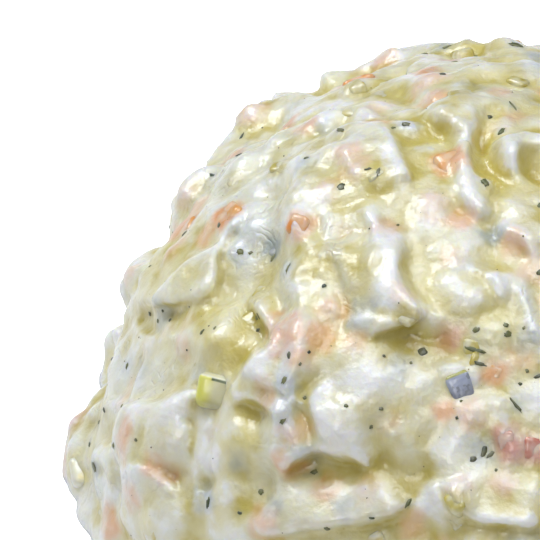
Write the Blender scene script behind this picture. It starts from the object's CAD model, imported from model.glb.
# %% [markdown]
# # A heap of vegetable spread
#
# The object is a heap of a stiff, creamy spread: dressing folded over finely cut carrot, pickle,
# courgette, red pepper and pale root vegetable, with herb flecks and ground pepper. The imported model
# gives one solid for the whole heap. Here the dressing, each kind of vegetable and each kind of fleck
# becomes a piece of its own, and together they replace that solid.

# %% Load the frame
import math
import random

import bpy
import numpy as np
from mathutils import Matrix, Vector, noise
from mathutils.bvhtree import BVHTree


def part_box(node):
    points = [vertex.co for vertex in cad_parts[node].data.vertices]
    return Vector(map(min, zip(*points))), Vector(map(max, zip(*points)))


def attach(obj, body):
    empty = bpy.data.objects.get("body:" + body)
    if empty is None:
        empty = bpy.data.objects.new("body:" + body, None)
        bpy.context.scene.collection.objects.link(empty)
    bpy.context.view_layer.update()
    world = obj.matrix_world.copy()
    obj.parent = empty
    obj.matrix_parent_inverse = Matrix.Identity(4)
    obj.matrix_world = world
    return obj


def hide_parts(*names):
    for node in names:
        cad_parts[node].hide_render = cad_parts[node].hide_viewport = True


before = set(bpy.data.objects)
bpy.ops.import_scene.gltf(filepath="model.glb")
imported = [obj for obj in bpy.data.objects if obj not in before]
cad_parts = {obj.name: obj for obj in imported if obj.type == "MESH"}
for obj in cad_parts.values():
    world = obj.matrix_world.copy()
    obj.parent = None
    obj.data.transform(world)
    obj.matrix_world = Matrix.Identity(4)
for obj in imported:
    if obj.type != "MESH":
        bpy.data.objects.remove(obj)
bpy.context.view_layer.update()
bpy.ops.object.select_all(action="DESELECT")
MM = 0.001
low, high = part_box("spread_heap")
print("solid heap, mm:", [round((b - a) / MM, 1) for a, b in zip(low, high)])

# %% [markdown]
# ## The camera
#
# The photograph looks down at the heap from about 38 degrees, close in, so that the heap fills the
# picture and runs out of it at the right and at the bottom. A long lens from not very far keeps the
# heap's outline as round as it is there. The same camera is needed early, because some pieces are put
# where the photograph shows them: a line of sight is followed from the camera to the cream.

# %% Camera
IMAGE_SIDE = 540
CAMERA_LIFT = math.radians(38)
CAMERA_DISTANCE = 450 * MM
PIXELS_PER_METRE = 9100
FOOT_PIXEL = (512, 455)
SENSOR = 36

ahead = Vector((0, math.cos(CAMERA_LIFT), -math.sin(CAMERA_LIFT)))
rightward = Vector((1, 0, 0))
upward = rightward.cross(ahead)
aim = rightward * (IMAGE_SIDE / 2 - FOOT_PIXEL[0]) / PIXELS_PER_METRE
aim += upward * (FOOT_PIXEL[1] - IMAGE_SIDE / 2) / PIXELS_PER_METRE
camera_place = aim - ahead * CAMERA_DISTANCE

bpy.ops.object.camera_add(location=camera_place, rotation=ahead.to_track_quat("-Z", "Y").to_euler())
camera = bpy.context.object
camera.data.sensor_width = SENSOR
camera.data.lens = PIXELS_PER_METRE * CAMERA_DISTANCE * SENSOR / IMAGE_SIDE
camera.data.clip_start = 0.01
bpy.context.scene.camera = camera
print("lens, mm:", round(camera.data.lens, 1))


def sight_line(across, down):
    """The direction in which the camera sees this pixel of the photograph."""
    aside = (across - IMAGE_SIDE / 2) / PIXELS_PER_METRE
    above = (IMAGE_SIDE / 2 - down) / PIXELS_PER_METRE
    return (ahead * CAMERA_DISTANCE + rightward * aside + upward * above).normalized()


def unit_rows(points):
    return points / np.linalg.norm(points, axis=1)[:, None]


def towards_camera(points):
    return unit_rows(np.array(camera_place) - points)


def pixels_of(points):
    """Where in the photograph the camera sees these points."""
    away = points - np.array(camera_place)
    share = CAMERA_DISTANCE * PIXELS_PER_METRE / (away @ np.array(ahead))
    across = away @ np.array(rightward) * share + IMAGE_SIDE / 2
    down = IMAGE_SIDE / 2 - away @ np.array(upward) * share
    return np.c_[across, down]


# %% [markdown]
# ## The form of the cream
#
# A spoon leaves a stiff spread in clumps, ledges and hollows. The form is worked out as a dome whose
# every point is lifted by the highest clump there, by uneven lumps and by the hollows, and then pushed
# a little aside, so that the ledges lean over. The clumps that the photograph shows are named, and
# the other sides follow a rule.

# %% Sizes and clumps
HEAP_RADIUS = 50 * MM
HEAP_HEIGHT = 44 * MM
HALF_AXES = np.array((HEAP_RADIUS, HEAP_RADIUS, HEAP_HEIGHT))
CLUMP_COVER = 2.6 * MM
SWELL = 1.2 * MM
SWELL_LENGTH = 16 * MM

# The noise offsets come from the clock unless they are given a seed, and then no two runs are alike
NOISE_SEED = 5
noise.seed_set(NOISE_SEED)

# Name, azimuth and elevation in degrees, length, width and depth in mm, turn in degrees, rise in mm
SEEN_FOLDS = (
    ("left ledge", -67, 24, 16.0, 10.0, 6.0, 38, 0.9),
    ("left foot", -74, 12, 9.0, 8.0, 5.0, -74, 0.3),
    ("foot lobe", -60, 17, 13.0, 10.5, 6.0, 13, 0.3),
    ("yellow clump", -82, 41, 12.0, 11.5, 6.0, 88, 0.6),
    ("hollow floor", -68, 42, 12.5, 7.5, 3.5, 24, -0.6),
    ("wall top", -86, 63, 20.5, 9.0, 6.0, -16, 0.6),
    ("wall middle", -63, 58, 16.5, 7.5, 6.0, -22, 0.9),
    ("wall foot", -51, 46, 14.0, 7.0, 5.0, -82, 0.6),
    ("terrace", -98, 67, 15.0, 14.0, 6.0, -84, 0.6),
    ("terrace rim", -115, 70, 12.5, 6.0, 4.5, 84, 0.9),
    ("crown slope", -74, 77, 11.5, 12.5, 4.5, 62, 0.3),
    ("crown knob", -140, 77, 7.0, 7.0, 5.0, 33, 1.5),
    ("crown ridge", -57, 82, 15.0, 4.5, 4.5, -20, 1.2),
    ("crown ridge end", -9, 77, 12.5, 4.5, 4.5, -24, 0.9),
    ("right crown knob", -46, 89, 8.0, 7.5, 5.0, -50, 1.2),
    ("back mass", -170, 67, 18.5, 7.5, 6.5, -20, 0.6),
    ("back mass end", -151, 68, 7.0, 9.0, 5.0, 62, 0.9),
    ("back knob", -142, 54, 5.0, 6.0, 3.5, 89, 1.2),
    ("back saddle", -143, 63, 9.0, 6.5, 4.5, -13, 0.0),
    ("rim knob", -133, 39, 5.0, 6.0, 3.5, 50, 1.2),
    ("upper rim", -122, 55, 8.0, 6.5, 3.5, -67, 0.3),
    ("middle rim", -111, 47, 9.0, 6.5, 3.0, -15, 0.0),
    ("lower rim", -99, 45, 8.0, 6.5, 3.5, -69, 0.3),
    ("rim bead", -97, 31, 4.0, 4.0, 3.0, 45, 1.2),
    ("carrot rise", -87, 51, 8.0, 7.5, 3.5, -72, 0.3),
    ("round lump", -50, 67, 6.0, 6.5, 3.5, 36, 0.6),
    ("bright ridge", -34, 61, 11.0, 4.0, 4.5, -16, 1.2),
    ("middle lump", -50, 63, 10.5, 8.0, 4.5, -19, 0.3),
    ("middle flat", -39, 53, 11.5, 7.5, 3.5, 58, 0.3),
    ("upper middle", -74, 68, 11.5, 7.5, 3.5, 43, 0.3),
    ("right slope", -38, 72, 11.5, 7.5, 3.5, -4, 0.3),
    ("right lump", -14, 66, 10.5, 7.5, 4.5, -13, 0.6),
    ("right ridge", -2, 62, 11.5, 4.0, 3.5, -66, 0.9),
    ("raised patch", -34, 46, 12.0, 10.0, 4.5, 52, 0.9),
    ("raised patch end", -22, 47, 8.0, 7.5, 3.5, 77, 0.6),
    ("low lump", -48, 36, 14.5, 10.0, 4.5, -79, 0.3),
    ("low ridge", -42, 39, 15.0, 4.5, 4.5, -47, 0.9),
    ("low right lump", -11, 46, 12.0, 8.0, 4.5, 38, 0.6),
    ("bottom lump", -44, 27, 11.5, 9.0, 5.0, 42, 0.6),
    ("bottom middle", -31, 33, 15.0, 9.0, 4.5, 28, 0.3),
    ("bottom right", -9, 38, 15.0, 7.5, 4.5, -5, 0.6),
)

# Name, azimuth and elevation in degrees, depth in mm, width in degrees; a depth below 0 stands out
SEEN_HOLLOWS = (
    ("left recess", -101, 11, 5.4, 11.5),
    ("upper left recess", -112, 26, 2.4, 10),
    ("foot lobe", -87, 0, -0.9, 9),
    ("left foot recess", -95, 6, 0.7, 7),
    ("left rise", -108, 19, -1.9, 5),
    ("upper left knob", -137, 39, -1.9, 5.5),
    ("crown dip", -145, 44, 1.0, 4),
    ("second crown dip", -155, 46, 1.1, 4.5),
    ("back dip", -172, 47, 1.2, 6),
    ("low left foot", -72, 2, -0.8, 8),
)

FOLD_SPACING = 11
FOLD_COUNT = 150
FOLD_LENGTH = (8.0, 16.0)
FOLD_WIDTH = (6.0, 10.0)
FOLD_DEPTH = (3.0, 5.0)
FOLD_RISE = (-0.3, 1.2)
FOLD_SEED = 7

# %% Directions on the dome
HIGHEST_SPOT = 89


def direction(azimuth, elevation):
    """The unit vector that these angles, in degrees, name: azimuth 0 faces -Y and grows towards +X."""
    turn, lift = math.radians(azimuth), math.radians(elevation)
    return Vector((math.sin(turn) * math.cos(lift), -math.cos(turn) * math.cos(lift), math.sin(lift)))


def dome_frame(azimuth, elevation):
    """A point of the dome, and the turn whose X runs level, Y up the slope and Z outwards."""
    point = Matrix.Diagonal(HALF_AXES) @ direction(azimuth, elevation)
    outward = Vector([share / half**2 for share, half in zip(point, HALF_AXES)]).normalized()
    level = Vector((math.cos(math.radians(azimuth)), math.sin(math.radians(azimuth)), 0))
    return point, Matrix((level, outward.cross(level), outward)).transposed()


def even_directions(count, generator, jitter):
    """Directions spread evenly over the dome on a golden-angle spiral, each moved a little."""
    golden_turn = 180 * (3 - math.sqrt(5))
    for step in range(count):
        azimuth = (step * golden_turn + generator.uniform(-jitter, jitter)) % 360 - 180
        elevation = math.degrees(math.asin((step + 0.5) / count)) + generator.uniform(-jitter, jitter) / 2
        yield azimuth, min(elevation, HIGHEST_SPOT)


def far_from(spot, taken, spacing):
    """Whether a direction is at least this many degrees from every taken one."""
    here = direction(*spot)
    return all(math.degrees(here.angle(direction(*other))) > spacing for other in taken)


def all_folds():
    """The named clumps, then those of the rule wherever there is room."""
    folds = [fold[1:] for fold in SEEN_FOLDS]
    generator = random.Random(FOLD_SEED)
    for spot in even_directions(FOLD_COUNT, generator, FOLD_SPACING / 3):
        shape = [generator.uniform(*span) for span in (FOLD_LENGTH, FOLD_WIDTH, FOLD_DEPTH)]
        turn = generator.uniform(-90, 90)
        rise = generator.uniform(*FOLD_RISE)
        if far_from(spot, [fold[:2] for fold in folds], FOLD_SPACING):
            folds.append((*spot, *shape, turn, rise))
    return folds


folds = all_folds()
print("clumps:", len(folds))

# %% How the cream rises
OUTLINE_POWER = 2.4
TOP_POWER = 2.5
CLUMP_REACH = 12 * MM
CREASE_SOFTNESS = 0.35 * MM
OUTLINE_SHIFTS = ((6 * MM, 1.3 * MM), (2.5 * MM, 0.35 * MM))

LARGE_LUMP = 7.5 * MM
LARGE_LUMP_RISE = (0.45 * MM, 1.6 * MM)
LARGE_LUMP_MIDDLE = 0.8 * MM
CREASE_WIDTH = 0.35
SMALL_LUMP = 3.6 * MM
SMALL_LUMP_RISE = 1.5 * MM
SMALL_LUMP_FOOT = 0.55
SMALL_LUMP_SPAN = (-0.2, 0.5)
FLAT_LUMP_SHARE = 0.35
FLAT_LUMP_RISE = 0.2
NUMBER_SPREAD = 97

LEAN_LENGTH = 5 * MM
LEAN = 0.9 * MM
LEAN_START = 9

# Where the photograph's own folds hold, this share of the rule's relief is levelled
CALM_SHARE = 0.65
CALM_LEVEL = -3.0 * MM


def shifts(points, length, reach, start=0.0):
    """A smooth uneven shift of each point, by up to about this reach."""
    offset = Vector((start, start, start))
    return reach * np.array([noise.noise_vector(Vector(point) / length + offset) for point in points])


def clump_rise(points, azimuth, elevation, length, width, depth, turn, rise):
    """How far one clump stands over the cream at each point."""
    middle, frame_here = dome_frame(azimuth, elevation)
    frame_here = frame_here @ Matrix.Rotation(math.radians(turn), 3, "Z")
    along, across, outward = np.abs((points - np.array(middle)) @ np.array(frame_here)).T
    reached = (2 * along / (length * MM)) ** OUTLINE_POWER + (2 * across / (width * MM)) ** OUTLINE_POWER
    reached = np.minimum(reached ** (1 / OUTLINE_POWER), 1)
    top = (depth / 2 + rise) * MM
    return np.where(outward < CLUMP_REACH, top * np.sqrt(1 - reached**TOP_POWER), 0)


def clumps_rise(points):
    """The highest clump at each point, with a soft crease where two meet."""
    total = np.ones(len(points))
    for fold in folds:
        total += np.exp(clump_rise(points, *fold) / CREASE_SOFTNESS) - 1
    return CREASE_SOFTNESS * np.log(total)


def lump_cells(points, size):
    """For each point: the distance to its lump's middle, that to the next one's, and the lump's number."""
    cells = []
    for point in points:
        distances, middles = noise.voronoi(Vector(point) / size)
        number = noise.cell(middles[0] * NUMBER_SPREAD) / 2 + 0.5
        cells.append((distances[0], distances[1], number))
    return np.array(cells).T


def lumps_rise(points):
    """Large lumps of uneven height with creases between them, and small ones on some of them."""
    nearest, second, number = lump_cells(points, LARGE_LUMP)
    flank = np.clip((second - nearest) / CREASE_WIDTH, 0, 1)
    lowest, highest = LARGE_LUMP_RISE
    large = np.sqrt(flank * (2 - flank)) * (lowest + (highest - lowest) * number) - LARGE_LUMP_MIDDLE
    nearest, _, number = lump_cells(points, SMALL_LUMP)
    small = np.clip(SMALL_LUMP_FOOT - nearest, *SMALL_LUMP_SPAN) * SMALL_LUMP_RISE
    return large + small * np.where(number > FLAT_LUMP_SHARE, 1, FLAT_LUMP_RISE)


def hollows_depth(outward):
    """How far the named hollows press the cream in, in each direction."""
    depth = np.zeros(len(outward))
    for _, azimuth, elevation, deepest, width in SEEN_HOLLOWS:
        cosine = np.clip(outward @ np.array(direction(azimuth, elevation)), -1, 1)
        depth += deepest * MM * np.exp(-((np.degrees(np.arccos(cosine)) / width) ** 2))
    return depth


def folded(outward, calm):
    """The points of the folded cream's surface in these directions, with less relief where it is calm."""
    dome = outward * HALF_AXES
    uneven = dome + sum(shifts(dome, *shift) for shift in OUTLINE_SHIFTS)
    swell = SWELL * np.array([noise.noise(Vector(point) / SWELL_LENGTH) for point in dome])
    rise = clumps_rise(uneven) + lumps_rise(uneven) - CLUMP_COVER
    rise += (CALM_LEVEL - rise) * CALM_SHARE * calm
    rise += swell - hollows_depth(outward)
    return dome + outward * rise[:, None] + shifts(dome, LEAN_LENGTH, LEAN, LEAN_START)


# %% [markdown]
# ## The folds in the photograph
#
# The ledges, ridges, lumps and hollows that can be read in the photograph are named as lines and ovals
# of its pixels. They stand towards the camera: a ledge drops at its line and sinks back slowly on its
# raised side, a ridge falls off on both sides, and a lump or a hollow falls off from its middle.

# %% Folds that the photograph shows
# Name, height in mm, softness and reach in pixels, and the pixels that the edge runs through, with the
# raised side on its right hand
SEEN_EDGES = (
    ("wall foot", 3.6, 3, 50,
     ((236, 382), (241, 368), (248, 360), (256, 352), (266, 348), (271, 340), (267, 326), (257, 311),
      (244, 297))),
    ("yellow clump", 2.6, 4, 40,
     ((246, 206), (238, 222), (226, 238), (216, 254), (217, 274), (212, 289), (198, 297), (180, 303),
      (160, 305), (142, 304), (128, 298))),
    ("pocket rim", 1.2, 3, 30, ((131, 312), (140, 329), (158, 338), (178, 334), (196, 322))),
    ("left shelf", 2.2, 4, 45,
     ((82, 420), (92, 408), (106, 402), (128, 401), (150, 404), (166, 399), (176, 391), (192, 388),
      (203, 396))),
    ("left fold", 1.6, 5, 30,
     ((86, 492), (98, 478), (115, 468), (136, 464), (152, 470), (168, 482), (184, 494))),
    ("gold notch", 1.6, 3, 22, ((276, 424), (266, 408), (255, 401), (243, 398), (233, 404))),
    ("long edge", 1.8, 10, 70,
     ((266, 475), (268, 450), (268, 425), (272, 400), (281, 380), (288, 360), (291, 340), (292, 315),
      (288, 295), (284, 275), (286, 255), (287, 235), (285, 215), (283, 195), (284, 176), (290, 160),
      (293, 140), (300, 120))),
    ("upper ledge", 2.2, 4, 45,
     ((352, 103), (372, 112), (386, 126), (395, 140), (401, 154), (408, 168), (414, 184))),
    ("crown rim", 2.4, 3, 40,
     ((300, 122), (318, 107), (345, 100), (372, 100), (396, 104), (412, 107), (420, 100))),
    ("nose", 2.2, 3, 40,
     ((397, 230), (402, 250), (398, 268), (404, 287), (418, 303), (425, 317), (405, 326), (380, 328),
      (370, 345))),
    ("bottom ledge", 2.4, 4, 45,
     ((372, 474), (358, 462), (340, 455), (318, 452), (298, 458), (284, 468), (276, 480))),
    ("bottom groove", 1.6, 4, 40,
     ((416, 500), (404, 508), (388, 518), (360, 522), (330, 526), (300, 529), (280, 536), (255, 530),
      (246, 520))),
    ("right crease", 1.8, 3, 35,
     ((548, 529), (490, 524), (468, 519), (456, 506), (446, 492), (438, 478))),
    ("white lump", 1.2, 3, 30,
     ((345, 442), (322, 441), (315, 428), (311, 410), (311, 396), (318, 386), (332, 379))),
    ("cavity", 2.0, 3, 25, ((478, 118), (472, 138), (469, 155), (472, 170), (484, 178), (500, 181))),
    ("right cavity", 1.6, 3, 25, ((521, 138), (517, 155), (520, 172), (532, 184), (548, 190))),
    ("second line", 0.9, 3, 30,
     ((352, 328), (351, 305), (346, 284), (338, 266), (327, 248), (324, 225), (318, 206))),
    ("upper shelf", 1.0, 3, 20, ((200, 203), (228, 197), (250, 187), (268, 180), (286, 175))),
    ("upper fold", 0.7, 2, 15, ((262, 186), (266, 170), (262, 150), (262, 132))),
)
# Name, height in mm, half width in pixels, and the pixels that it runs through
SEEN_RIDGES = (
    ("left ridge", 0.9, 8, ((212, 412), (205, 435), (201, 455), (196, 475), (197, 500), (205, 522))),
    ("white flow", 1.2, 9, ((470, 112), (466, 135), (464, 160), (466, 182), (475, 204), (492, 222))),
    ("hook", 0.9, 6, ((498, 226), (515, 230), (530, 241), (536, 262))),
    ("inner hook", 0.9, 5, ((464, 266), (482, 268), (496, 276), (502, 290), (502, 304))),
    ("right line", 0.7, 3, ((519, 283), (524, 300), (530, 318), (538, 344))),
    ("crease rim", 0.8, 5, ((432, 480), (438, 498), (450, 514), (466, 526))),
    ("chunk rim", 0.6, 5, ((436, 372), (452, 366), (468, 368), (482, 384))),
    ("left slope ridge", 1.0, 7, ((362, 198), (371, 214), (377, 232), (372, 256), (366, 280))),
)
# Name, pixel of the middle, half length and half width in pixels, turn in degrees, height in mm
SEEN_BLOBS = (
    ("yellow clump body", 170, 270, 40, 27, -24, 2.6),
    ("second lump", 214, 334, 38, 28, 10, 2.6),
    ("clump pocket", 156, 321, 30, 14, -10, -2.2),
    ("left hollow", 150, 368, 44, 20, -8, -0.8),
    ("notch", 252, 412, 16, 12, 20, -1.0),
    ("corner", 303, 128, 12, 16, 0, 0.8),
    ("behind the crown", 388, 88, 32, 15, 6, -1.5),
    ("crown knob", 447, 103, 27, 21, -10, 2.2),
    ("upper middle hollow", 432, 155, 30, 30, 0, -1.2),
    ("cavity floor", 486, 156, 17, 28, 0, -1.7),
    ("right cavity floor", 534, 164, 16, 26, 0, -1.5),
    ("lump between", 508, 142, 13, 28, -8, 1.2),
    ("round drop", 388, 242, 11, 11, 0, 0.9),
    ("broad shade", 424, 342, 60, 20, 4, -1.0),
    ("bottom hollow", 318, 470, 44, 20, 6, -0.9),
    ("chunk bed", 464, 384, 20, 16, 30, 0.6),
    ("low middle", 240, 440, 30, 34, 0, 0.9),
    ("olive slope", 318, 300, 26, 40, 0, -0.7),
    ("dark spot", 484, 452, 24, 15, 0, -0.7),
)
print("folds in view:", len(SEEN_EDGES) + len(SEEN_RIDGES) + len(SEEN_BLOBS))

# %% How those folds rise
CORNER_ROUNDS = 2
SCOOP = 0.3
SCOOP_REACH = 0.4
TAPER = 0.16
LINE_REACHES = 3


def soft_step(values, low, high):
    """0 below the lowest value, 1 above the highest, and a smooth curve between them."""
    share = np.clip((values - low) / (high - low), 0, 1)
    return share * share * (3 - 2 * share)


def rounded_line(line):
    """The line with its corners cut off twice, so that it bends smoothly."""
    line = np.array(line, float)
    for _ in range(CORNER_ROUNDS):
        cut = np.empty((2 * len(line), 2))
        cut[0], cut[-1] = line[0], line[-1]
        cut[1:-1:2] = line[:-1] * 0.75 + line[1:] * 0.25
        cut[2::2] = line[:-1] * 0.25 + line[1:] * 0.75
        line = cut
    return line


def beside_line(pixels, line):
    """Each pixel's distance from the line, above 0 on the right hand, and its share of the way along."""
    line = rounded_line(line)
    nearest = np.full(len(pixels), np.inf)
    side = np.ones(len(pixels))
    way = np.zeros(len(pixels))
    gone = 0.0
    for start, end in zip(line[:-1], line[1:]):
        step = end - start
        length = np.linalg.norm(step)
        if length < 1e-6:
            continue
        reach = pixels - start
        share = np.clip(reach @ step / length**2, 0, 1)
        gap = np.linalg.norm(reach - share[:, None] * step, axis=1)
        closer = gap < nearest
        nearest[closer] = gap[closer]
        side[closer] = np.sign(step[0] * reach[closer, 1] - step[1] * reach[closer, 0])
        way[closer] = gone + share[closer] * length
        gone += length
    return nearest * side, way / gone


def line_taper(way):
    """Fades a fold out at both ends of its line."""
    return soft_step(way, 0, TAPER) * soft_step(1 - way, 0, TAPER)


def near_line(pixels, line, reach):
    """Which pixels lie near enough to a line to be moved by it."""
    margin = LINE_REACHES * reach
    low, high = np.min(line, axis=0) - margin, np.max(line, axis=0) + margin
    return ((pixels > low) & (pixels < high)).all(axis=1)


def edge_rise(pixels, height, softness, reach, line):
    """A ledge: it drops at the line, and sinks back slowly on its raised side."""
    gap, way = beside_line(pixels, line)
    raised = soft_step(gap, -softness, softness) * np.exp(-np.maximum(gap, 0) / reach)
    below = 1 - soft_step(gap, -2 * softness, softness)
    under = SCOOP * np.exp(-np.abs(gap) / (SCOOP_REACH * reach)) * below
    return height * MM * line_taper(way) * (raised - under)


def ridge_rise(pixels, height, half_width, line):
    gap, way = beside_line(pixels, line)
    return height * MM * line_taper(way) * np.exp(-((gap / half_width) ** 2))


def blob_rise(pixels, across, down, half_length, half_width, turn, height):
    spin = math.radians(turn)
    offset = pixels - (across, down)
    along = offset @ (math.cos(spin), math.sin(spin)) / half_length
    aside = offset @ (-math.sin(spin), math.cos(spin)) / half_width
    reached = along**2 + aside**2
    return height * MM * np.exp(-reached)


def seen_rise(pixels):
    """How far the photograph's folds stand towards the camera at these pixels."""
    rise = np.zeros(len(pixels))
    for _, height, softness, reach, line in SEEN_EDGES:
        near = near_line(pixels, line, reach)
        rise[near] += edge_rise(pixels[near], height, softness, reach, line)
    for _, height, half_width, line in SEEN_RIDGES:
        near = near_line(pixels, line, half_width)
        rise[near] += ridge_rise(pixels[near], height, half_width, line)
    for _, *blob in SEEN_BLOBS:
        rise += blob_rise(pixels, *blob)
    return rise


# %% Helpers for meshes
def activate(obj):
    bpy.ops.object.select_all(action="DESELECT")
    obj.select_set(True)
    bpy.context.view_layer.objects.active = obj


def apply_modifier(obj, kind, **settings):
    """Adds a modifier of this kind with these settings, and applies it."""
    activate(obj)
    modifier = obj.modifiers.new(kind.title(), kind)
    for name, value in settings.items():
        setattr(modifier, name, value)
    bpy.ops.object.modifier_apply(modifier=modifier.name)


def points_of(obj):
    """The vertices' places as an array of rows."""
    flat = np.empty(len(obj.data.vertices) * 3)
    obj.data.vertices.foreach_get("co", flat)
    return flat.reshape(-1, 3)


def place_points(obj, points):
    obj.data.vertices.foreach_set("co", points.ravel())
    obj.data.update()


def triangle_count(obj):
    return sum(len(face.vertices) - 2 for face in obj.data.polygons)


def cut_flat(obj, height, closed=True):
    """Cuts away what is under this height, and closes the cut with one flat face."""
    activate(obj)
    bpy.ops.object.mode_set(mode="EDIT")
    bpy.ops.mesh.select_all(action="SELECT")
    bpy.ops.mesh.bisect(plane_co=(0, 0, height), plane_no=(0, 0, 1), clear_inner=True, use_fill=closed)
    bpy.ops.object.mode_set(mode="OBJECT")


# %% [markdown]
# ## The bare core
#
# The photograph shows one side. Its folds are used three times, turned by a third each, so that every
# side is as rich as the one in view. A ball is cut under the dome, its points are moved out to the folded
# surface, and the open underside is closed with one face.

# %% The same folds on every side
SECTOR_TURNS = (0, 120, 240)
FACING_SPAN = (0.0, 0.25)
RIGHT_EDGE = (545, 570)


def turned(points, degrees):
    return points @ np.array(Matrix.Rotation(math.radians(degrees), 3, "Z")).T


def seen_share(points):
    """How fully the camera sees these points of the dome: 0 past the outline and outside the picture."""
    normals = unit_rows(points / HALF_AXES**2)
    facing = soft_step((normals * towards_camera(points)).sum(axis=1), *FACING_SPAN)
    return facing * (1 - soft_step(pixels_of(points)[:, 0], *RIGHT_EDGE))


def sector_shares(points):
    """For each sector, how far its own copy of the folds holds at each point of the dome."""
    left = np.ones(len(points))
    shares = []
    for turn in SECTOR_TURNS:
        share = left * seen_share(turned(points, -turn))
        shares.append(share)
        left = left - share
    return shares


def fold_shift(points, dome):
    """How the folds move these points, each towards the place from which its sector is seen."""
    total = np.zeros_like(points)
    for turn, share in zip(SECTOR_TURNS, sector_shares(dome)):
        used = share > 0
        here = turned(points[used], -turn)
        rise = seen_rise(pixels_of(here)) * share[used]
        total[used] += turned(towards_camera(here) * rise[:, None], turn)
    return total


# %% The bare core
LOWEST_SHARE = -0.1
bpy.ops.object.select_all(action="DESELECT")
bpy.ops.mesh.primitive_ico_sphere_add(subdivisions=7, radius=1)
cream = bpy.context.object
cream.name = "cream_dressing"
cut_flat(cream, LOWEST_SHARE, closed=False)
outward_rows = unit_rows(points_of(cream))
calm = sum(sector_shares(outward_rows * HALF_AXES))
place_points(cream, folded(outward_rows, calm))
apply_modifier(cream, "SUBSURF", levels=1, render_levels=1)
bpy.ops.object.mode_set(mode="EDIT")
bpy.ops.mesh.select_all(action="DESELECT")
bpy.ops.mesh.select_non_manifold()
bpy.ops.mesh.edge_face_add()
bpy.ops.object.mode_set(mode="OBJECT")
core_points = points_of(cream)
dome_points = core_points / np.linalg.norm(core_points / HALF_AXES, axis=1)[:, None]
place_points(cream, core_points + fold_shift(core_points, dome_points))
print("core triangles:", triangle_count(cream))

# %% [markdown]
# ## The vegetables under the cream
#
# The spread owes its lumps to finely cut vegetables. They come out of a dicing machine, so a few uneven
# dice with softened edges are modelled once and copied. Where the photograph shows a kind, its dice are
# placed by the line of sight through their pixel; everywhere else they follow a rule. Each one pushes a
# soft bump into the cream, stains it where the film is thin, and a bare one also breaks the surface.

# %% Model dice
DIE_SHAPES = 6
DIE_SEED = 11
DIE_BEVEL = 0.2
DIE_UNEVEN = 0.14


def model_die(generator):
    """A cube of side 1 with uneven corners and softened edges, as its points and faces."""
    bpy.ops.object.select_all(action="DESELECT")
    bpy.ops.mesh.primitive_cube_add(size=1)
    die = bpy.context.object
    for vertex in die.data.vertices:
        vertex.co += Vector([generator.uniform(-DIE_UNEVEN, DIE_UNEVEN) for _ in range(3)])
    apply_modifier(die, "BEVEL", width=DIE_BEVEL, segments=2)
    return model_from(die)


def model_from(obj):
    """The points and the triangles of a model, which is then removed."""
    apply_modifier(obj, "TRIANGULATE")
    points = points_of(obj)
    faces = np.array([face.vertices[:] for face in obj.data.polygons])
    bpy.data.objects.remove(obj)
    return points, faces


def store(obj, name, values):
    layer = obj.data.attributes.new(name, "FLOAT", "POINT")
    layer.data.foreach_set("value", np.asarray(values, np.float32))


def joined(name, models, matrices):
    """One mesh with a copy of a model, taken in turn, at each matrix, and a number for each copy."""
    all_points, all_faces, numbers, skins, start = [], [], [], [], 0
    numbers_from = random.Random(name)
    for index, matrix in enumerate(matrices):
        points, faces = models[index % len(models)]
        all_points.append(points @ np.array(matrix.to_3x3()).T + np.array(matrix.translation))
        all_faces.append(faces + start)
        numbers.append(np.full(len(points), numbers_from.random()))
        skins.append(points[:, 1] * 2)
        start += len(points)
    mesh = bpy.data.meshes.new(name)
    mesh.from_pydata(np.concatenate(all_points).tolist(), [], np.concatenate(all_faces).tolist())
    obj = bpy.data.objects.new(name, mesh)
    bpy.context.scene.collection.objects.link(obj)
    store(obj, "number", np.concatenate(numbers))
    store(obj, "skin", np.concatenate(skins))
    activate(obj)
    bpy.ops.object.shade_smooth()
    return obj


die_generator = random.Random(DIE_SEED)
die_models = [model_die(die_generator) for _ in range(DIE_SHAPES)]
print("triangles of a die:", len(die_models[0][1]))

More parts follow.
